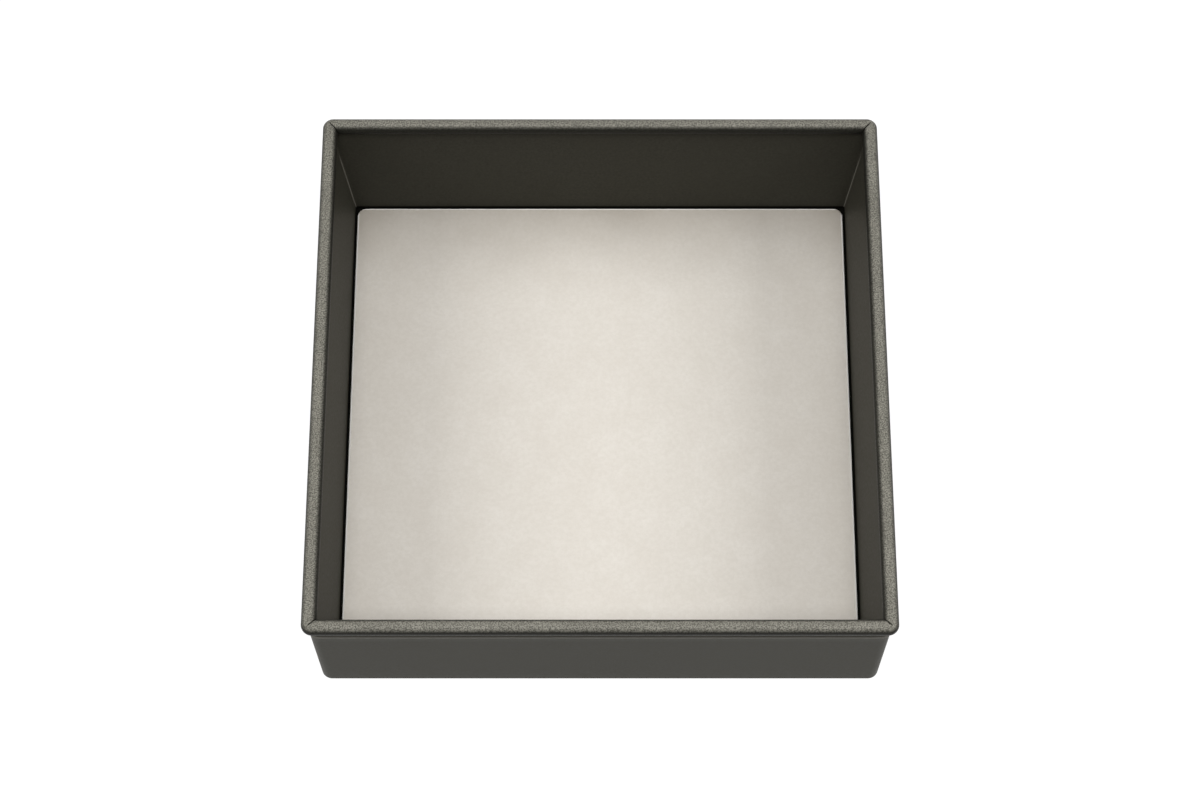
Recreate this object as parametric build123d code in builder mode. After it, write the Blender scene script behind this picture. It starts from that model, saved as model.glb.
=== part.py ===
from build123d import *

import os
from math import atan, degrees, hypot, radians, sqrt, tan

# A square springform pan in millimetres, +Z up. The origin is in the middle of the pan, on the
# surface that it stands on. The front is -Y, and the latch is on the outside of the back wall.

# The band: sheet steel, rolled round a wire at the top and bent in to a ledge at the bottom.
RIM_SIZE = 242.0  # over the rolled rim, both ways
PAN_HEIGHT = 63.5
SHEET = 1.0
RIM_RADIUS = 3.25
RIM_BEND = 1.25  # bend of the rim's centre line at each corner
WIRE_RADIUS = 2.2
WIRE_BEND = 3.0
FIT_GAP = 0.05  # round the wire, and round a running pin
WALL_HALF = 117.0  # from the middle to a wall's outer face, at the bottom
WALL_FLARE = 1.9  # how much further out that face is under the rim
WALL_CORNER = 4.3
BOTTOM_BEND = 2.0
LEDGE_WIDTH = 15.5
LEDGE_CORNER = 3.0
SPLIT_GAP = 0.4  # between the right wall and the rest of the band
NOTCH_WIDTH = 0.4  # mitre notch in the rim's inner half, at the two whole corners

# The loose base plate, lying on the ledge.
BASE_SIZE = 219.0
BASE_SHEET = 1.5
BASE_CORNER = 4.0
BASE_EDGE = 0.5

# The latch. Everything in it is centred on one level.
LATCH_LEVEL = 31.0
STRAP_SHEET = 1.2
STRAP_HEIGHT = 22.0
STRAP_GAP = 0.35  # from the strap to the back wall, which it slides along
STRAP_END = 93.0  # both legs of the strap end this far from the middle
HOOK_HEIGHT = 10.0
HOOK_ROOM = 5.5  # between the strap and the hook's lip
HOOK_REACH = 6.5
HOOK_BEND = 1.6
HOOK_SET = 3.0  # how far the hook's back stands beyond the strap's end
BAIL_WIRE = 1.1  # radius
BAIL_SPREAD = 8.4  # each leg above or below the latch's level
BAIL_BEND = 1.8
BAIL_TIP = 2.4  # where the bail's tips end, from the latch's level
BAIL_SLACK = 1.9  # between the bail and the back of the hook
BAIL_REST = 1.4  # between the bail and the strap
PIVOT_X = 52.0
CRANK = 7.5  # from the lever's pivot to the bail's tips
OVER_CENTRE = 2.0  # the pivot stands this much further out than the hooked end of the bail
PIN_RADIUS = 1.5
PIN_HEAD = 2.3
PIN_HEAD_HEIGHT = 0.9
BRACKET_SHEET = 1.2
BRACKET_WIDTH = 16.0
BRACKET_HEIGHT = 20.0
EAR_HALF = 3.5
EAR_INSIDE = 4.6  # inner face of each ear from the latch's level
LEVER_SHEET = 1.2
LEVER_HALF = 4.2  # outer face of each flange from the latch's level
LEVER_NOSE = 4.0
LEVER_LENGTH = 50.0
LEVER_STRAIGHT = 38.0
LEVER_KICK = 4.1  # how far the finger end stands out
FLANGE_LENGTH = 34.0  # of the flanges' edge on the wall's side
FLANGE_NARROWING = 1.0  # how much shallower the flanges are at the end of that edge
FLANGE_TIP = 44.0  # where the flanges run out, under the finger end

# Sizes that follow.
RIM_LINE = RIM_SIZE / 2 - RIM_RADIUS
RIM_LEVEL = PAN_HEIGHT - RIM_RADIUS
WALL_TOP = RIM_LEVEL - RIM_BEND
WALL_LEAN = degrees(atan(WALL_FLARE / WALL_TOP))
BORE_RADIUS = WIRE_RADIUS + FIT_GAP
WIRE_END = RIM_LINE - 2 * WIRE_BEND
LEDGE_HALF = WALL_HALF - LEDGE_WIDTH
STRAP_LOW = LATCH_LEVEL - STRAP_HEIGHT / 2


def wall_face(level):
    """The distance from the middle to a wall's outer face at a level."""
    return WALL_HALF + level * tan(radians(WALL_LEAN))


STRAP_FACE = wall_face(LATCH_LEVEL) + STRAP_GAP + STRAP_SHEET
LIP_MIDDLE = STRAP_FACE + HOOK_ROOM + STRAP_SHEET / 2
HOOK_BACK = STRAP_END - HOOK_SET
BAR_X = HOOK_BACK + STRAP_SHEET / 2 + BAIL_SLACK + BAIL_WIRE
BAR_Y = STRAP_FACE + BAIL_REST + BAIL_WIRE
PIVOT_Y = BAR_Y + OVER_CENTRE
CRANK_X = PIVOT_X - CRANK
BAIL_LENGTH = hypot(BAR_X - CRANK_X, BAR_Y - PIVOT_Y)


def rim_corner():
    """The rounded outer side of the rim's back right corner: the rim's disc, turned a quarter."""
    pivot = Vector(RIM_LINE - RIM_BEND, RIM_LINE - RIM_BEND, RIM_LEVEL)
    with BuildPart() as corner:
        with BuildSketch(Plane(origin=pivot, x_dir=(1, 0, 0), z_dir=(0, -1, 0))):
            with Locations((RIM_BEND, 0)):
                Circle(RIM_RADIUS)
            side = 4 * RIM_RADIUS
            Rectangle(side, side, align=(Align.MIN, Align.CENTER), mode=Mode.INTERSECT)
        revolve(axis=Axis(pivot, (0, 0, 1)), revolution_arc=90)
    return corner.part


def tub(inset):
    """A solid filling the walls up to their top: their outside, or moved in by the sheet."""
    half = wall_face(inset) - inset
    with BuildPart() as solid:
        with BuildSketch(Plane.XY.offset(inset)):
            RectangleRounded(2 * half, 2 * half, WALL_CORNER - inset)
        extrude(amount=WALL_TOP - inset, taper=-WALL_LEAN)
        fillet(solid.edges().group_by(Axis.Z)[0], BOTTOM_BEND - inset)
    return solid.part


def whole_band():
    """All four walls with the ledge, the rolled rim and the bore for its wire."""
    with BuildPart() as band:
        add(tub(0))
        add(tub(SHEET), mode=Mode.SUBTRACT)
        with BuildSketch(Plane.XY):
            RectangleRounded(2 * LEDGE_HALF, 2 * LEDGE_HALF, LEDGE_CORNER)
        extrude(amount=SHEET, mode=Mode.SUBTRACT)
        with Locations((0, 0, RIM_LEVEL)):
            with PolarLocations(RIM_LINE, 4):
                Cylinder(RIM_RADIUS, 2 * (RIM_LINE - RIM_BEND), rotation=(90, 0, 0))
        with PolarLocations(0, 4):
            add(rim_corner())
        with BuildLine(Plane.XY.offset(RIM_LEVEL)) as route:
            front = [(-RIM_LINE, -RIM_LINE), (RIM_LINE, -RIM_LINE)]
            back = [(RIM_LINE, RIM_LINE), (-RIM_LINE, RIM_LINE)]
            FilletPolyline(*front, *back, radius=WIRE_BEND, close=True)
        with BuildSketch(Plane(origin=route.line @ 0, z_dir=route.line % 0)):
            Circle(BORE_RADIUS)
        sweep(mode=Mode.SUBTRACT)
    return band.part


def right_hand_side(shift):
    """A block of everything to the right of the two diagonals, moved to the right by shift."""
    reach = RIM_SIZE
    with BuildPart() as block:
        with BuildSketch(Plane.XY):
            Polygon((shift, 0), (shift + reach, -reach), (shift + reach, reach), align=None)
        extrude(amount=PAN_HEIGHT)
    return block.part


def make_side_band():
    """The front, left and back walls, with mitre notches in the rim at the two left corners."""
    with BuildPart() as side_band:
        add(whole_band())
        add(right_hand_side(-SPLIT_GAP / sqrt(2)), mode=Mode.SUBTRACT)
        notch = 2 * RIM_RADIUS
        for side in (-1, 1):
            with Locations(Location((-RIM_LINE, side * RIM_LINE, RIM_LEVEL), (0, 0, -side * 45))):
                Box(notch, NOTCH_WIDTH, notch, align=(Align.MIN, Align.CENTER, Align.CENTER),
                    mode=Mode.SUBTRACT)
    side_band.part.label = "side_band"
    return side_band.part


def make_right_wall():
    with BuildPart() as right_wall:
        add(whole_band())
        add(right_hand_side(SPLIT_GAP / sqrt(2)), mode=Mode.INTERSECT)
    right_wall.part.label = "right_wall"
    return right_wall.part


def make_rim_wires():
    """The wire in the rim of the fixed walls, and the straight one in the right wall's rim."""
    with BuildPart() as rim_wire:
        with BuildLine(Plane.XY.offset(RIM_LEVEL)) as route:
            front = [(WIRE_END, -RIM_LINE), (-RIM_LINE, -RIM_LINE)]
            back = [(-RIM_LINE, RIM_LINE), (WIRE_END, RIM_LINE)]
            FilletPolyline(*front, *back, radius=WIRE_BEND)
        with BuildSketch(Plane(origin=route.line @ 0, z_dir=route.line % 0)):
            Circle(WIRE_RADIUS)
        sweep()
    rim_wire.part.label = "rim_wire"
    with BuildPart() as right_rim_wire:
        with BuildSketch(Plane(origin=(RIM_LINE, -WIRE_END, RIM_LEVEL), z_dir=(0, 1, 0))):
            Circle(WIRE_RADIUS)
        extrude(amount=2 * WIRE_END)
    right_rim_wire.part.label = "right_rim_wire"
    return [rim_wire.part, right_rim_wire.part]


def make_base_plate():
    with BuildPart() as base_plate:
        with BuildSketch(Plane.XY.offset(SHEET)):
            RectangleRounded(BASE_SIZE, BASE_SIZE, BASE_CORNER)
        extrude(amount=BASE_SHEET)
        fillet(base_plate.edges().group_by(Axis.Z)[-1], BASE_EDGE)
    base_plate.part.label = "base_plate"
    return base_plate.part


def make_closure_strap():
    """A strap welded to the right wall, round the split corner, with a hook at its back end."""
    face = wall_face(STRAP_LOW)
    with BuildPart() as strap:
        for outwards, mode in ((STRAP_SHEET, Mode.ADD), (0, Mode.SUBTRACT)):
            with BuildSketch(Plane.XY.offset(STRAP_LOW)):
                with Locations((0, STRAP_GAP)):
                    side = 2 * (face + outwards)
                    RectangleRounded(side, side, WALL_CORNER + outwards)
            extrude(amount=STRAP_HEIGHT, taper=-WALL_LEAN, mode=mode)
        reach = RIM_SIZE
        with Locations((STRAP_END, STRAP_END, 0)):
            Box(reach, reach, reach, align=Align.MIN, mode=Mode.INTERSECT)
        with BuildSketch(Plane.XY.offset(LATCH_LEVEL - HOOK_HEIGHT / 2)):
            with BuildLine():
                foot = STRAP_FACE - STRAP_SHEET / 2
                bends = [(STRAP_END + HOOK_BEND, foot), (HOOK_BACK, foot), (HOOK_BACK, LIP_MIDDLE)]
                FilletPolyline(*bends, (HOOK_BACK + HOOK_REACH, LIP_MIDDLE), radius=HOOK_BEND)
            trace(line_width=STRAP_SHEET)
        extrude(amount=HOOK_HEIGHT)
    strap.part.label = "closure_strap"
    return strap.part


def make_lever_bracket():
    """A plate welded flat on the back wall, with two ears that hold the lever's pin."""
    low = LATCH_LEVEL - BRACKET_HEIGHT / 2
    high = LATCH_LEVEL + BRACKET_HEIGHT / 2
    plate_end = Plane(origin=(PIVOT_X - BRACKET_WIDTH / 2, 0, 0), x_dir=(0, 1, 0), z_dir=(1, 0, 0))
    with BuildPart() as bracket:
        with BuildSketch(plate_end):
            with BuildLine():
                inner_edge = [(wall_face(low), low), (wall_face(high), high)]
                outer_edge = [(wall_face(level) + BRACKET_SHEET, level) for level in (high, low)]
                Polyline(*inner_edge, *outer_edge, close=True)
            make_face()
        extrude(amount=BRACKET_WIDTH)
        foot = wall_face(LATCH_LEVEL) + BRACKET_SHEET / 2
        for ear_low in (EAR_INSIDE, -EAR_INSIDE - BRACKET_SHEET):
            with BuildSketch(Plane.XY.offset(LATCH_LEVEL + ear_low)):
                with Locations((PIVOT_X, PIVOT_Y)):
                    Circle(EAR_HALF)
                with Locations((PIVOT_X, foot)):
                    Rectangle(2 * EAR_HALF, PIVOT_Y - foot, align=(Align.CENTER, Align.MIN))
                with Locations((PIVOT_X, PIVOT_Y)):
                    Circle(PIN_RADIUS, mode=Mode.SUBTRACT)
            extrude(amount=BRACKET_SHEET)
    bracket.part.label = "lever_bracket"
    return bracket.part


def make_lever_pin():
    ear_face = EAR_INSIDE + BRACKET_SHEET
    with BuildPart() as pin:
        with Locations((PIVOT_X, PIVOT_Y, LATCH_LEVEL)):
            Cylinder(PIN_RADIUS, 2 * ear_face)
        for side in (-1, 1):
            middle = LATCH_LEVEL + side * (ear_face + PIN_HEAD_HEIGHT / 2)
            with Locations((PIVOT_X, PIVOT_Y, middle)):
                Cylinder(PIN_HEAD, PIN_HEAD_HEIGHT)
        fillet(pin.edges().group_by(Axis.Z)[0], PIN_HEAD_HEIGHT / 2)
        fillet(pin.edges().group_by(Axis.Z)[-1], PIN_HEAD_HEIGHT / 2)
    pin.part.label = "lever_pin"
    return pin.part


def make_latch_lever():
    """A channel of bent sheet: two flanges on the pin, and a web that kicks out as a finger end."""
    web = LEVER_NOSE
    web_inside = web - LEVER_SHEET
    plane = Plane(origin=(PIVOT_X, PIVOT_Y, LATCH_LEVEL - LEVER_HALF))
    with BuildPart() as lever:
        with BuildSketch(plane):
            Circle(LEVER_NOSE)
            with BuildLine():
                wall_side = [(0, -LEVER_NOSE), (-FLANGE_LENGTH, FLANGE_NARROWING - LEVER_NOSE)]
                finger = [(-FLANGE_TIP, web + LEVER_KICK / 2), (-LEVER_STRAIGHT, web), (0, web)]
                Polyline(*wall_side, *finger, close=True)
            make_face()
        extrude(amount=2 * LEVER_HALF)
        with BuildSketch(plane.offset(LEVER_SHEET)):
            with BuildLine():
                under_web = [(LEVER_NOSE, web_inside), (-LEVER_STRAIGHT, web_inside)]
                beyond = [(-LEVER_LENGTH, web_inside + LEVER_KICK), (-LEVER_LENGTH, -2 * LEVER_NOSE)]
                Polyline(*under_web, *beyond, (LEVER_NOSE, -2 * LEVER_NOSE), close=True)
            make_face()
        extrude(amount=2 * (LEVER_HALF - LEVER_SHEET), mode=Mode.SUBTRACT)
        with BuildSketch(plane):
            with BuildLine():
                outer_side = [(-LEVER_STRAIGHT, web), (-LEVER_LENGTH, web + LEVER_KICK)]
                inner_side = [(-LEVER_LENGTH, web_inside + LEVER_KICK), (-LEVER_STRAIGHT, web_inside)]
                Polyline(*outer_side, *inner_side, close=True)
            make_face()
        extrude(amount=2 * LEVER_HALF)
        with BuildSketch(plane):
            Circle(PIN_RADIUS + FIT_GAP)
            with Locations((-CRANK, 0)):
                Circle(BAIL_WIRE + FIT_GAP)
        extrude(amount=2 * LEVER_HALF, mode=Mode.SUBTRACT)
    lever.part.label = "latch_lever"
    return lever.part


def make_latch_bail():
    """The wire loop: two tips in the lever, two legs past the bracket, and a bar in the hook."""
    along = Vector(BAR_X - CRANK_X, BAR_Y - PIVOT_Y, 0)
    loop = Plane(origin=(CRANK_X, PIVOT_Y, LATCH_LEVEL), x_dir=along, z_dir=along.cross(Vector(0, 0, 1)))
    with BuildPart() as bail:
        with BuildLine(loop) as route:
            half = [(0, BAIL_TIP), (0, BAIL_SPREAD), (BAIL_LENGTH, BAIL_SPREAD)]
            other_half = [(x, -z) for x, z in reversed(half)]
            FilletPolyline(*half, *other_half, radius=BAIL_BEND)
        with BuildSketch(Plane(origin=route.line @ 0, z_dir=route.line % 0)):
            Circle(BAIL_WIRE)
        sweep()
    bail.part.label = "latch_bail"
    return bail.part


os.makedirs("parts", exist_ok=True)
pieces = [
    make_side_band(),
    make_right_wall(),
    *make_rim_wires(),
    make_base_plate(),
    make_closure_strap(),
    make_lever_bracket(),
    make_lever_pin(),
    make_latch_lever(),
    make_latch_bail(),
]
for piece in pieces:
    export_step(piece, f"parts/{piece.label}.step")
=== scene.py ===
from math import asin, cos, pi, radians, sin

import bmesh
import bpy
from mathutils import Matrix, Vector


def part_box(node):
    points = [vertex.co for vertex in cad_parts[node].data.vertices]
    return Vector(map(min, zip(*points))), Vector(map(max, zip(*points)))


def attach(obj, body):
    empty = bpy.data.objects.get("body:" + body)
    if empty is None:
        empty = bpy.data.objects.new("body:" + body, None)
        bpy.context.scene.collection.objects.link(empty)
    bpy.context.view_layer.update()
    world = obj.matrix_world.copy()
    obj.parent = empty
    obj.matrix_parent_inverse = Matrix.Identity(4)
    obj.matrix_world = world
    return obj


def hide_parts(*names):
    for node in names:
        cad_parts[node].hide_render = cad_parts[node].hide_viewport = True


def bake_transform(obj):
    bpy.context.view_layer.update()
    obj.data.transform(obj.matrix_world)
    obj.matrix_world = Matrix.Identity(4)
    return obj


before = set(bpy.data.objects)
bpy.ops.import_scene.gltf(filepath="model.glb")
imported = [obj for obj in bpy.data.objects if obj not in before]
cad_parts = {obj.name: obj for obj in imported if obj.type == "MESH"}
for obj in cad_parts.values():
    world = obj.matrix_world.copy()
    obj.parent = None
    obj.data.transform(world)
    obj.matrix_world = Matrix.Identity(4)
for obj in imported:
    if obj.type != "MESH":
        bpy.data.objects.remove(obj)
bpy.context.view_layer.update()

# Lengths of the band's section are in millimetres. The frame and every finished mesh are in metres.
MM = 0.001

# The band, around the walls and rim of the frame.
_, PAN_HIGH = (Vector(corner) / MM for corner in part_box("side_band"))
PLATE_LOW, PLATE_HIGH = (Vector(corner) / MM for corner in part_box("base_plate"))
RIM_RADIUS = 3.25
RIM_BEND = 1.25
RIM_LINE = PAN_HIGH.y - RIM_RADIUS
RIM_LEVEL = PAN_HIGH.z - RIM_RADIUS
SHEET = 1.0
WALL_HALF = 117.0
WALL_FLARE = 1.9
WALL_TOP = RIM_LEVEL - RIM_BEND
WALL_CORNER = 4.3
INNER_CORNER = 0.9
BOTTOM_BEND = 2.0
LEDGE_HALF = 101.5
LEDGE_CORNER = 3.0
LEDGE_ROUND = 0.25

# The inside of a wall leans in to a fine dark gap around the base plate.
PLATE_GAP = 0.9
FOOT_HALF = PLATE_HIGH.x + PLATE_GAP
LEAN_TOP = 54.0
SHARP = 0.08  # corner radius of a folded crease
SHARP_FROM = radians(50)
NECK = ((0.7, 0.5), (1.6, 0.2), (2.6, 0.0))  # drop below the bead, and how deep the slit runs on
NECK_BLEND = 1.6
INNER_LEVELS = (52.0, 40.0, 28.0, 16.0, 6.0, SHEET)
OUTER_LEVELS = (12.0, 24.0, 36.0, 46.0)

# Under the rim the outside flares out from a fine rolled ridge.
RIDGE_LEVEL = 51.9
RIDGE_PROUD = 0.4
RIDGE_HEIGHT = 0.5
RIDGE_SHAPE = ((-1, 0.25), (-0.4, 0.85), (0, 1.0), (0.4, 0.7), (0.8, 0.0), (1.4, -0.6))
FLARE_START = (2.2, -0.5)  # in ridge heights above the ridge, and in its proud height
FLARE_STEPS = 8
FLARE_POWER = 1.4
FLARE_OPENING = 0.4  # how much of the flare its corner radius follows
FLARE_END_ANGLE = radians(-64)
BEAD_END_ANGLE = radians(238)
BEAD_STEPS = 40
CREASE_DEPTH = 0.35
CREASE_CORNER = 3.6

# The mitre slit in the rim's inner half at each corner.
SLIT_DEPTH = 1.3
SLIT_WIDTH = 0.8
SLIT_START = radians(85)
SLIT_FULL = radians(112)

# The base plate, with a rounded upper edge.
PLATE_CORNER = 4.0
PLATE_EDGE = 0.5
PLATE_BREAK = 0.15  # the small bevel on its lower edge
PLATE_RIM = 1.2
PLATE_MIDDLE = 6.0
PLATE_CORNER_STEPS = 8

# Stations along the band.
CORNER_REACH = 6.5
CORNER_SUPPORT = 0.3
CORNER_STEPS = 10
SPLIT_HALF_GAP = 0.01
FLAT = (0.0, 0.0)  # no slit
SEAM_X = 95.0
FLEX_STATIONS = (96, 92, 88, 84, 80, 76)


def wall_face(level):
    """The distance from the middle to the outer face of a wall at a level."""
    return WALL_HALF + level * WALL_FLARE / WALL_TOP


def inner_face(level):
    """The distance from the middle to the inner face of a wall at a level."""
    top = wall_face(LEAN_TOP) - SHEET
    return top + (FOOT_HALF - top) * (LEAN_TOP - level) / (LEAN_TOP - SHEET)


def bead_point(angle, radius=RIM_RADIUS):
    """A point on the bead's round section, 0 pointing outwards and a quarter turn upwards."""
    return RIM_LINE + radius * cos(angle), RIM_LEVEL + radius * sin(angle)


def slit_depth(angle):
    """The mitre slit's depth, growing from nothing as the bead turns over to its inside."""
    share = (angle - SLIT_START) / (SLIT_FULL - SLIT_START)
    return SLIT_DEPTH * min(max(share, 0), 1)


def arc(middle, radius, first, last, steps):
    """Points on an arc, from the first angle to the last, both included."""
    turns = [first + (last - first) * step / steps for step in range(steps + 1)]
    return [(middle[0] + radius * cos(turn), middle[1] + radius * sin(turn)) for turn in turns]


def band_section():
    """The band's closed section: (half width, level, corner radius, slit step, on the rim)."""
    section = []
    for step in range(BEAD_STEPS + 1):
        angle = FLARE_END_ANGLE + (BEAD_END_ANGLE - FLARE_END_ANGLE) * step / BEAD_STEPS
        half, level = bead_point(angle)
        depth = slit_depth(angle)
        corner = max(RIM_BEND + RIM_RADIUS * cos(angle), SHARP)
        section.append((half, level, corner, (-depth * cos(angle), -depth * sin(angle)), True))

    neck_top = bead_point(BEAD_END_ANGLE)
    for drop, slit in NECK:
        level = neck_top[1] - drop
        blend = min(drop / NECK_BLEND, 1)
        half = neck_top[0] + (inner_face(level) - neck_top[0]) * blend
        section.append((half, level, SHARP + (INNER_CORNER - SHARP) * blend, (slit, 0.0), False))
    for level in INNER_LEVELS:
        section.append((inner_face(level), level, INNER_CORNER, FLAT, False))
    for half, level in arc((LEDGE_HALF + LEDGE_ROUND, SHEET - LEDGE_ROUND), LEDGE_ROUND, pi / 2, pi, 3):
        section.append((half, level, LEDGE_CORNER, FLAT, False))
    for half, level in arc((LEDGE_HALF + LEDGE_ROUND, LEDGE_ROUND), LEDGE_ROUND, pi, 3 * pi / 2, 3):
        section.append((half, level, LEDGE_CORNER, FLAT, False))
    bend_middle = wall_face(BOTTOM_BEND) - BOTTOM_BEND
    for half, level in arc((bend_middle, BOTTOM_BEND), BOTTOM_BEND, -pi / 2, 0, 10):
        section.append((half, level, WALL_CORNER, FLAT, False))
    for level in (*OUTER_LEVELS, RIDGE_LEVEL - 3 * RIDGE_HEIGHT):
        section.append((wall_face(level), level, WALL_CORNER, FLAT, False))

    ridge = wall_face(RIDGE_LEVEL)
    for rise, proud in RIDGE_SHAPE:
        section.append((ridge + proud * RIDGE_PROUD, RIDGE_LEVEL + rise * RIDGE_HEIGHT,
                        WALL_CORNER, FLAT, False))
    rise, proud = FLARE_START
    flare_low = (ridge + proud * RIDGE_PROUD, RIDGE_LEVEL + rise * RIDGE_HEIGHT)
    flare_high = bead_point(FLARE_END_ANGLE)
    for step in range(1, FLARE_STEPS):
        share = step / FLARE_STEPS
        half = flare_low[0] + (flare_high[0] - flare_low[0]) * share ** FLARE_POWER
        level = flare_low[1] + (flare_high[1] - flare_low[1]) * share
        corner = WALL_CORNER + (half - flare_low[0]) * FLARE_OPENING
        section.append((half, level, corner, FLAT, False))
    crease = bead_point(FLARE_END_ANGLE, RIM_RADIUS - CREASE_DEPTH)
    section.append((*crease, CREASE_CORNER, FLAT, False))
    return section


def arc_stations(half, corner, slit, last, steps):
    """(p, q, level step) along a side, p towards the corner, and round its arc to a last angle."""
    centre = half - corner
    stations = [(half - CORNER_REACH, half, 0.0), (centre - CORNER_SUPPORT, half, 0.0)]
    for step in range(steps + 1):
        turn = pi / 2 + (last - pi / 2) * step / steps
        p = centre + corner * cos(turn)
        q = centre + corner * sin(turn)
        weight = max(1 - abs(p - q) / SLIT_WIDTH, 0)
        stations.append((p + slit[0] * weight, q + slit[0] * weight, slit[1] * weight))
    return stations


def corner_stations(half, corner, slit):
    """One whole corner in its own quadrant."""
    centre = half - corner
    stations = arc_stations(half, corner, slit, 0, CORNER_STEPS)
    return stations + [(half, centre - CORNER_SUPPORT, 0.0), (half, half - CORNER_REACH, 0.0)]


def split_stations(half, corner, slit):
    """A corner up to the split on its diagonal."""
    last = pi / 4 + asin(SPLIT_HALF_GAP / corner)
    return arc_stations(half, corner, slit, last, CORNER_STEPS // 2)


def placed(stations, x_side, y_side, along_x):
    """Stations of a quadrant, in the pan's own x and y."""
    if along_x:
        return [(x_side * p, y_side * q, step) for p, q, step in stations]
    return [(x_side * q, y_side * p, step) for p, q, step in stations]


def fixed_path(half, corner, slit):
    """Front, left and back walls, from the seam in the front wall round to the split."""
    whole = corner_stations(half, corner, slit)
    start = [(SEAM_X, -half, 0.0), (SEAM_X - 1, -half, 0.0)]
    front_left = placed(whole, -1, -1, True)
    back_left = placed(whole, -1, 1, False)
    back_right = placed(split_stations(half, corner, slit), 1, 1, True)
    return start + front_left + back_left + back_right


def opening_path(half, corner, slit):
    """From the seam round the front right corner and along the right wall to the split."""
    start = [(SEAM_X, -half, 0.0), (SEAM_X + 1, -half, 0.0)]
    front_right = placed(corner_stations(half, corner, slit), 1, -1, True)
    flexing = [(half, -y, 0.0) for y in FLEX_STATIONS]
    back_right = placed(split_stations(half, corner, slit), 1, 1, False)
    return start + front_right + flexing + back_right


def new_object(name, vertices, faces, materials, slots=None):
    mesh = bpy.data.meshes.new(name)
    mesh.from_pydata([Vector(vertex) * MM for vertex in vertices], [], faces)
    for material in materials:
        mesh.materials.append(material)
    for index, polygon in enumerate(mesh.polygons):
        polygon.use_smooth = len(polygon.vertices) == 4
        if slots:
            polygon.material_index = slots[index]
    mesh.validate()
    mesh.update()
    mesh.set_sharp_from_angle(angle=SHARP_FROM)
    obj = bpy.data.objects.new(name, mesh)
    bpy.context.scene.collection.objects.link(obj)
    return obj


def recalculate(obj):
    """Turns every face outwards."""
    work = bmesh.new()
    work.from_mesh(obj.data)
    bmesh.ops.recalc_face_normals(work, faces=work.faces)
    work.to_mesh(obj.data)
    work.free()


def make_band(name, path, materials):
    """The band's section carried along a path, closed at both ends."""
    section = band_section()
    rows = []
    for half, level, corner, slit, _ in section:
        rows.append([(x, y, level + step) for x, y, step in path(half, corner, slit)])
    count = len(rows[0])
    vertices = [point for row in rows for point in row]
    faces, slots = [], []
    for index in range(len(rows)):
        following = (index + 1) % len(rows)
        on_rim = section[index][4] and section[following][4]
        for station in range(count - 1):
            faces.append((index * count + station, index * count + station + 1,
                          following * count + station + 1, following * count + station))
            slots.append(1 if on_rim else 0)
    for station in (0, count - 1):
        faces.append([index * count + station for index in range(len(rows))])
        slots.append(0)
    obj = new_object(name, vertices, faces, materials, slots)
    recalculate(obj)
    return obj


# Materials. Colours are linear red, green and blue.
COAT_DARK = (0.036, 0.0341, 0.0260)
COAT_LIGHT = (0.052, 0.0494, 0.0385)
COAT_CLOUD = (0.040, 0.037, 0.0275)
# Painted highlight: a thin light line down each inner corner of the walls.
SEAM_PAINTED_HIGHLIGHT = (0.17, 0.163, 0.14)
# Painted highlight: a light band on the ridge under the rim.
RIDGE_PAINTED_HIGHLIGHT = (0.16, 0.154, 0.135)
# Painted shade: near-black at the foot of the inner wall, in the gap round the plate.
GAP_PAINTED_SHADE = (0.004, 0.004, 0.003)
# Painted highlight on the bead's crown, speckled light and dark, and painted shade, speckled, on the rest of
# the bead.
CROWN_HIGHLIGHT_DARK = (0.130, 0.125, 0.104)
CROWN_HIGHLIGHT_LIGHT = (0.345, 0.332, 0.284)
BEAD_SHADE_DARK = (0.014, 0.0135, 0.011)
BEAD_SHADE_LIGHT = (0.026, 0.025, 0.020)
PLATE_DARK = (0.825, 0.775, 0.700)
PLATE_LIGHT = (0.868, 0.823, 0.752)
PLATE_FIBRE = (0.74, 0.69, 0.61)
# Painted shade towards the plate's sides and back, where the walls shade it.
PLATE_PAINTED_SHADE = (0.22, 0.185, 0.14)
# Painted highlight along the plate's outer edge.
PLATE_EDGE_HIGHLIGHT = (0.93, 0.91, 0.86)


def material(name):
    made = bpy.data.materials.new(name)
    made.use_nodes = True
    nodes = made.node_tree.nodes
    return made, nodes, made.node_tree.links, nodes["Principled BSDF"]


def object_point(nodes):
    return nodes.new("ShaderNodeTexCoord").outputs["Object"]


def noise(nodes, links, point, scale, detail, roughness=0.5):
    texture = nodes.new("ShaderNodeTexNoise")
    texture.inputs["Scale"].default_value = scale
    texture.inputs["Detail"].default_value = detail
    texture.inputs["Roughness"].default_value = roughness
    links.new(point, texture.inputs["Vector"])
    return texture.outputs["Fac"]


def spread(nodes, links, value, low, high, out_low, out_high):
    ranged = nodes.new("ShaderNodeMapRange")
    for name, number in (("From Min", low), ("From Max", high), ("To Min", out_low), ("To Max", out_high)):
        ranged.inputs[name].default_value = number
    links.new(value, ranged.inputs["Value"])
    return ranged.outputs["Result"]


def operate(nodes, links, operation, *values):
    math = nodes.new("ShaderNodeMath")
    math.operation = operation
    for index, value in enumerate(values):
        if isinstance(value, (int, float)):
            math.inputs[index].default_value = value
        else:
            links.new(value, math.inputs[index])
    return math.outputs["Value"]


def distances(nodes, links, point):
    """The height, the distances along x and y from the middle, and the larger of these two."""
    parts = nodes.new("ShaderNodeSeparateXYZ")
    links.new(point, parts.inputs["Vector"])
    side_x = operate(nodes, links, "ABSOLUTE", parts.outputs["X"])
    side_y = operate(nodes, links, "ABSOLUTE", parts.outputs["Y"])
    across = operate(nodes, links, "MAXIMUM", side_x, side_y)
    return parts.outputs["Z"], side_x, side_y, across


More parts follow.
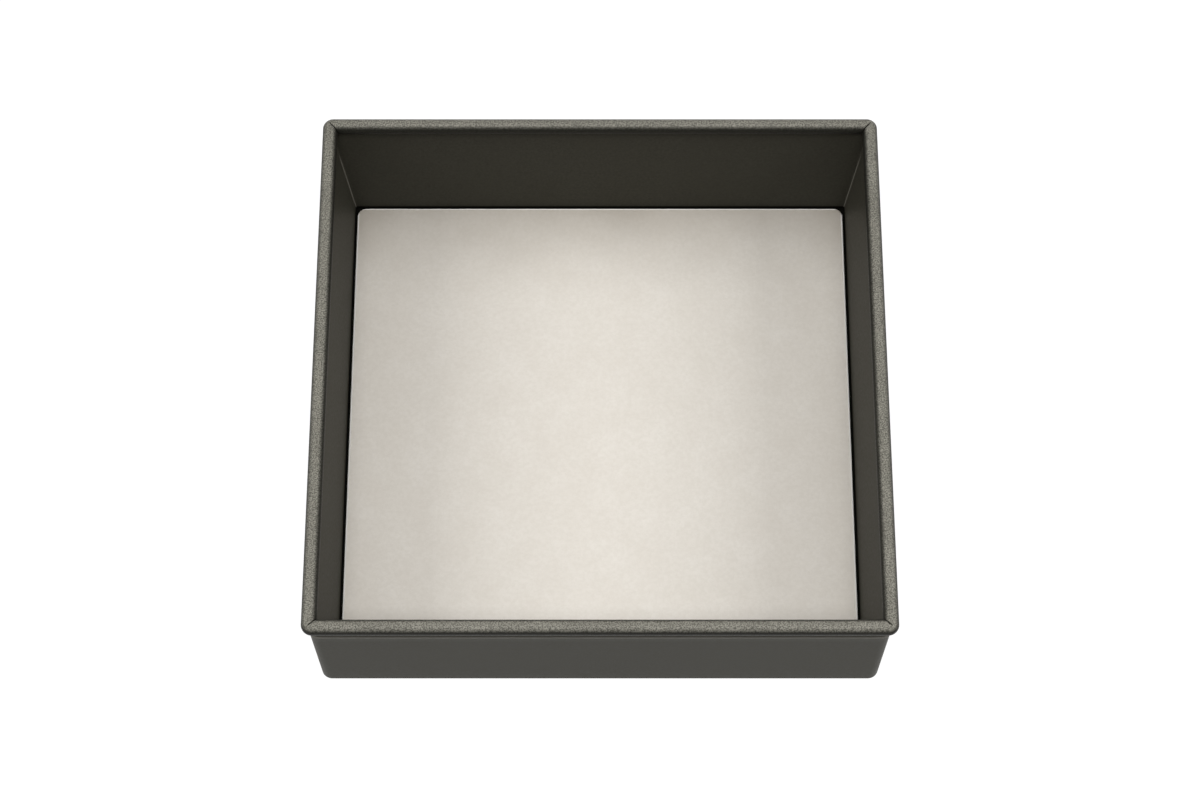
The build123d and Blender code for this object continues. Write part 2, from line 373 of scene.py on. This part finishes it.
def mixed(nodes, links, share, first, second):
    mix = nodes.new("ShaderNodeMix")
    mix.data_type = "RGBA"
    links.new(share, mix.inputs["Factor"])
    for socket, colour in (("A", first), ("B", second)):
        target = [entry for entry in mix.inputs if entry.name == socket and entry.type == "RGBA"][0]
        if isinstance(colour, tuple):
            target.default_value = (*colour, 1)
        else:
            links.new(colour, target)
    return [entry for entry in mix.outputs if entry.type == "RGBA"][0]


def bump(nodes, links, height, strength, distance, under=None):
    made = nodes.new("ShaderNodeBump")
    made.inputs["Strength"].default_value = strength
    made.inputs["Distance"].default_value = distance
    links.new(height, made.inputs["Height"])
    if under:
        links.new(under, made.inputs["Normal"])
    return made.outputs["Normal"]


def wall_coating():
    """The dark satin non-stick coating, with the fine grain of the sprayed coat, painted highlights down the
    inner corners and along the ridge, and painted shade in the gap round the plate.
    """
    made, nodes, links, shader = material("band_coating")
    point = object_point(nodes)
    grain = noise(nodes, links, point, 900, 3, 0.6)
    cloud = noise(nodes, links, point, 28, 4)
    grain_share = spread(nodes, links, grain, 0.28, 0.72, 0, 1)
    speckled = mixed(nodes, links, grain_share, COAT_DARK, COAT_LIGHT)
    cloud_share = spread(nodes, links, cloud, 0.3, 0.7, 0, 0.35)
    coloured = mixed(nodes, links, cloud_share, speckled, COAT_CLOUD)
    height, side_x, side_y, across = distances(nodes, links, point)
    # Painted highlight: a thin light line down each inner corner, close to the mitre and inside the walls.
    off_mitre = operate(nodes, links, "ABSOLUTE", operate(nodes, links, "SUBTRACT", side_x, side_y))
    on_seam = operate(nodes, links, "MULTIPLY", spread(nodes, links, off_mitre, 0.0001, 0.0004, 0.8, 0),
                      spread(nodes, links, across, (WALL_HALF - 2.2) * MM, (WALL_HALF - 1.4) * MM, 1, 0))
    seam_highlighted = mixed(nodes, links, on_seam, coloured, SEAM_PAINTED_HIGHLIGHT)
    # Painted highlight: a light band along the ridge, on the outside of the wall only.
    off_ridge = operate(nodes, links, "ABSOLUTE", operate(nodes, links, "SUBTRACT", height, RIDGE_LEVEL * MM))
    on_ridge = operate(nodes, links, "MULTIPLY", spread(nodes, links, off_ridge, 0.0003, 0.0007, 1, 0),
                       spread(nodes, links, across, (WALL_HALF + 0.7) * MM, (WALL_HALF + 1.1) * MM, 0, 1))
    ridge_highlighted = mixed(nodes, links, on_ridge, seam_highlighted, RIDGE_PAINTED_HIGHLIGHT)
    # Painted shade: the wall is near-black where it is both below the plate's top and within about 1 mm of
    # its foot.
    above_gap_shade = operate(nodes, links, "MAXIMUM",
                          spread(nodes, links, height, PLATE_HIGH.z * MM, (PLATE_HIGH.z + 0.3) * MM, 0, 1),
                          spread(nodes, links, across, (FOOT_HALF + 1) * MM, (FOOT_HALF + 2) * MM, 0, 1))
    links.new(mixed(nodes, links, above_gap_shade, GAP_PAINTED_SHADE, ridge_highlighted), shader.inputs["Base Color"])
    links.new(spread(nodes, links, grain, 0.3, 0.7, 0.42, 0.54), shader.inputs["Roughness"])
    links.new(bump(nodes, links, grain, 0.25, 0.00006), shader.inputs["Normal"])
    shader.inputs["Specular IOR Level"].default_value = 0.07
    return made


def rim_coating():
    """The same coating on the bead, coarser, with a painted highlight on its crown and painted shade below,
    inside and along the mitre slits.
    """
    made, nodes, links, shader = material("rim_coating")
    point = object_point(nodes)
    grain = noise(nodes, links, point, 1750, 2, 0.6)
    cloud = noise(nodes, links, point, 60, 3)
    height, side_x, side_y, across = distances(nodes, links, point)
    off_mitre = operate(nodes, links, "ABSOLUTE", operate(nodes, links, "SUBTRACT", side_x, side_y))
    # Painted highlight only on the bead's upper outer part; painted shade on its inner side, below, and along
    # the mitre slit.
    inner = spread(nodes, links, across, (RIM_LINE - 2.9) * MM, (RIM_LINE - 1.3) * MM, 0, 1)
    upper = spread(nodes, links, height, (RIM_LEVEL + 1.5) * MM, (RIM_LEVEL + 3.0) * MM, 0, 1)
    beside_slit = spread(nodes, links, off_mitre, 0.00015, 0.00045, 0, 1)
    past_slit = spread(nodes, links, across, (RIM_LINE + 0.1) * MM, (RIM_LINE + 0.5) * MM, 0, 1)
    crown = operate(nodes, links, "MULTIPLY", inner, upper)
    crown = operate(nodes, links, "MULTIPLY", crown, spread(nodes, links, cloud, 0.3, 0.7, 0.8, 1.0))
    crown = operate(nodes, links, "MULTIPLY", crown,
                    operate(nodes, links, "MAXIMUM", beside_slit, past_slit))
    speckled = mixed(nodes, links, spread(nodes, links, grain, 0.41, 0.59, 0, 1),
                     CROWN_HIGHLIGHT_DARK, CROWN_HIGHLIGHT_LIGHT)
    dark = mixed(nodes, links, spread(nodes, links, grain, 0.35, 0.65, 0, 1),
                 BEAD_SHADE_DARK, BEAD_SHADE_LIGHT)
    links.new(mixed(nodes, links, crown, dark, speckled), shader.inputs["Base Color"])
    links.new(spread(nodes, links, grain, 0.3, 0.7, 0.30, 0.46), shader.inputs["Roughness"])
    links.new(bump(nodes, links, grain, 0.6, 0.0002), shader.inputs["Normal"])
    shader.inputs["Specular IOR Level"].default_value = 0.08
    return made


def pale_coating():
    """Matte warm off-white, mottled, with painted shade towards the edges, most at the back, and a painted
    highlight along the outer edge.
    """
    made, nodes, links, shader = material("pale_plate")
    point = object_point(nodes)
    mottle = noise(nodes, links, point, 60, 5, 0.6)
    fibre = noise(nodes, links, point, 620, 3, 0.6)
    wide = noise(nodes, links, point, 14, 2)
    parts = nodes.new("ShaderNodeSeparateXYZ")
    links.new(point, parts.inputs["Vector"])

    half = PLATE_HIGH.x * MM
    across = operate(nodes, links, "ABSOLUTE", parts.outputs["X"])
    along = operate(nodes, links, "ABSOLUTE", parts.outputs["Y"])
    edge = operate(nodes, links, "MAXIMUM", across, along)
    sway = spread(nodes, links, wide, 0, 1, -0.015, 0.015)

    # Painted shade: slightly darker towards the sides, and much darker towards the back.
    def edge_shading(place, reach, power, amount):
        near = spread(nodes, links, operate(nodes, links, "ADD", place, sway),
                      half - reach, half + 0.004, 0, 1)
        return operate(nodes, links, "MULTIPLY", operate(nodes, links, "POWER", near, power), amount)

    edge_shade = operate(nodes, links, "ADD", edge_shading(across, 0.040, 1.8, 0.14),
                      edge_shading(parts.outputs["Y"], 0.050, 1.7, 0.62))
    edge_shade = operate(nodes, links, "MINIMUM", edge_shade, 1.0)
    mottled = mixed(nodes, links, spread(nodes, links, mottle, 0.3, 0.7, 0, 1),
                    PLATE_DARK, PLATE_LIGHT)
    fibred = mixed(nodes, links, spread(nodes, links, fibre, 0.35, 0.65, 0, 0.4),
                   mottled, PLATE_FIBRE)
    edge_shaded = mixed(nodes, links, edge_shade, fibred, PLATE_PAINTED_SHADE)
    # Painted highlight: a light line on the outermost edge of the plate.
    line = spread(nodes, links, edge, half - 0.0008, half - 0.0006, 0, 1)
    finished = mixed(nodes, links, line, edge_shaded, PLATE_EDGE_HIGHLIGHT)
    links.new(finished, shader.inputs["Base Color"])
    links.new(spread(nodes, links, mottle, 0.3, 0.7, 0.62, 0.74), shader.inputs["Roughness"])
    links.new(bump(nodes, links, fibre, 0.15, 0.00006), shader.inputs["Normal"])
    return made


def steel(name, colour, darker, roughness, stretch):
    """Satin metal with fine drawn lines along one axis."""
    made, nodes, links, shader = material(name)
    mapping = nodes.new("ShaderNodeMapping")
    mapping.inputs["Scale"].default_value = stretch
    links.new(object_point(nodes), mapping.inputs["Vector"])
    lines = noise(nodes, links, mapping.outputs["Vector"], 900, 3, 0.6)
    cloud = noise(nodes, links, object_point(nodes), 120, 3)
    tone = mixed(nodes, links, spread(nodes, links, cloud, 0.3, 0.7, 0, 1), colour, darker)
    links.new(tone, shader.inputs["Base Color"])
    links.new(spread(nodes, links, lines, 0.3, 0.7, roughness - 0.07, roughness + 0.09),
              shader.inputs["Roughness"])
    links.new(bump(nodes, links, lines, 0.2, 0.00003), shader.inputs["Normal"])
    shader.inputs["Metallic"].default_value = 1.0
    return made


def make_plate(finish):
    """The loose base plate, with a rounded upper edge."""
    half = PLATE_HIGH.x
    low, high = PLATE_LOW.z, PLATE_HIGH.z
    section = [(half - PLATE_MIDDLE, low), (half - PLATE_BREAK, low), (half, low + PLATE_BREAK)]
    section += arc((half - PLATE_EDGE, high - PLATE_EDGE), PLATE_EDGE, 0, pi / 2, 6)
    section += [(half - PLATE_RIM, high), (half - PLATE_MIDDLE, high)]
    rows = []
    for ring_half, level in section:
        radius = max(PLATE_CORNER - (half - ring_half), 0.4)
        centre = ring_half - radius
        row = []
        for quarter in range(4):
            x_side = 1 if quarter in (0, 3) else -1
            y_side = 1 if quarter in (0, 1) else -1
            for step in range(PLATE_CORNER_STEPS + 1):
                turn = quarter * pi / 2 + pi / 2 * step / PLATE_CORNER_STEPS
                x = x_side * centre + radius * cos(turn)
                y = y_side * centre + radius * sin(turn)
                row.append((x, y, level))
        rows.append(row)
    count = len(rows[0])
    vertices = [point for row in rows for point in row]
    faces = []
    for index in range(len(rows) - 1):
        for station in range(count):
            following = (station + 1) % count
            faces.append((index * count + station, index * count + following,
                          (index + 1) * count + following, (index + 1) * count + station))
    faces.append(list(range(count)))
    faces.append(list(range((len(rows) - 1) * count, len(rows) * count)))
    obj = new_object("base_plate_finished", vertices, faces, [finish])
    recalculate(obj)
    return obj


wall_finish = wall_coating()
rim_finish = rim_coating()
plate_finish = pale_coating()
plated = steel("plated_steel_finish", (0.62, 0.61, 0.58), (0.50, 0.49, 0.46), 0.32, (0.08, 1, 1))
pin_steel = steel("pin_steel_finish", (0.52, 0.52, 0.50), (0.42, 0.42, 0.40), 0.28, (1, 1, 0.1))
wire_steel = steel("wire_steel_finish", (0.58, 0.57, 0.54), (0.46, 0.45, 0.42), 0.30, (0.1, 1, 1))

band_fixed = make_band("band_fixed", fixed_path, [wall_finish, rim_finish])
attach(band_fixed, "pan")
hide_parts("side_band")

band_opening = make_band("band_opening", opening_path, [wall_finish, rim_finish])
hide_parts("right_wall")
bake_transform(band_opening)

plate = make_plate(plate_finish)
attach(plate, "base")
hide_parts("base_plate")

for node, finish in (
    ("closure_strap", wall_finish),
    ("lever_bracket", plated),
    ("latch_lever", plated),
    ("lever_pin", pin_steel),
    ("latch_bail", wire_steel),
    ("rim_wire", wire_steel),
    ("right_rim_wire", wire_steel),
):
    for material_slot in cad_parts[node].material_slots:
        material_slot.material = finish

# Floor, light and camera.
FLOOR_REACH = 6.0
FLOOR_DROP = 0.0002
FLOOR_GREY = (0.12, 0.12, 0.12, 1)
FLOOR_GLOW = 0.96
WORLD_STRENGTH = 0.22
SIDE_BOX = ((0.5, 0.7), 7.2)
floor_mesh = bpy.data.meshes.new("floor")
floor_mesh.from_pydata(
    [(-FLOOR_REACH, -FLOOR_REACH, 0), (FLOOR_REACH, -FLOOR_REACH, 0),
     (FLOOR_REACH, FLOOR_REACH, 0), (-FLOOR_REACH, FLOOR_REACH, 0)], [], [(0, 1, 2, 3)])
floor = bpy.data.objects.new("floor", floor_mesh)
floor.location.z = -FLOOR_DROP
bpy.context.scene.collection.objects.link(floor)
floor_finish, _, _, floor_shader = material("floor_finish")
floor_shader.inputs["Base Color"].default_value = FLOOR_GREY
floor_shader.inputs["Roughness"].default_value = 0.9
floor_shader.inputs["Specular IOR Level"].default_value = 0.1
floor_shader.inputs["Emission Color"].default_value = (1, 1, 1, 1)
floor_shader.inputs["Emission Strength"].default_value = FLOOR_GLOW
floor_mesh.materials.append(floor_finish)

world = bpy.data.worlds.new("studio")
world.use_nodes = True
world.node_tree.nodes["Background"].inputs["Color"].default_value = (1, 1, 1, 1)
world.node_tree.nodes["Background"].inputs["Strength"].default_value = WORLD_STRENGTH
bpy.context.scene.world = world


def softbox(name, place, aim, size, power):
    light = bpy.data.lights.new(name, "AREA")
    light.shape = "RECTANGLE"
    light.size, light.size_y = size
    light.energy = power
    obj = bpy.data.objects.new(name, light)
    obj.location = place
    obj.rotation_euler = (Vector(aim) - Vector(place)).to_track_quat("-Z", "Y").to_euler()
    bpy.context.scene.collection.objects.link(obj)


softbox("softbox_top", (0, -0.55, 1.45), (0, 0, 0), (0.8, 0.5), 10.6)
softbox("softbox_left", (-1.15, 0, 0.95), (0, 0, 0), *SIDE_BOX)
softbox("softbox_right", (1.15, 0, 0.95), (0, 0, 0), *SIDE_BOX)

LENS = 94.46
SENSOR = 36.0
ELEVATION = radians(63.887)
DISTANCE = 1.314
AIM = Vector((0, -0.01687, PAN_HIGH.z * MM))
camera_data = bpy.data.cameras.new("camera")
camera_data.lens = LENS
camera_data.sensor_width = SENSOR
camera_data.clip_start = 0.01
camera = bpy.data.objects.new("camera", camera_data)
forward = Vector((0, cos(ELEVATION), -sin(ELEVATION)))
camera.location = AIM - DISTANCE * forward
camera.rotation_euler = forward.to_track_quat("-Z", "Y").to_euler()
bpy.context.scene.collection.objects.link(camera)
bpy.context.scene.camera = camera
bpy.context.scene.view_settings.view_transform = "Standard"
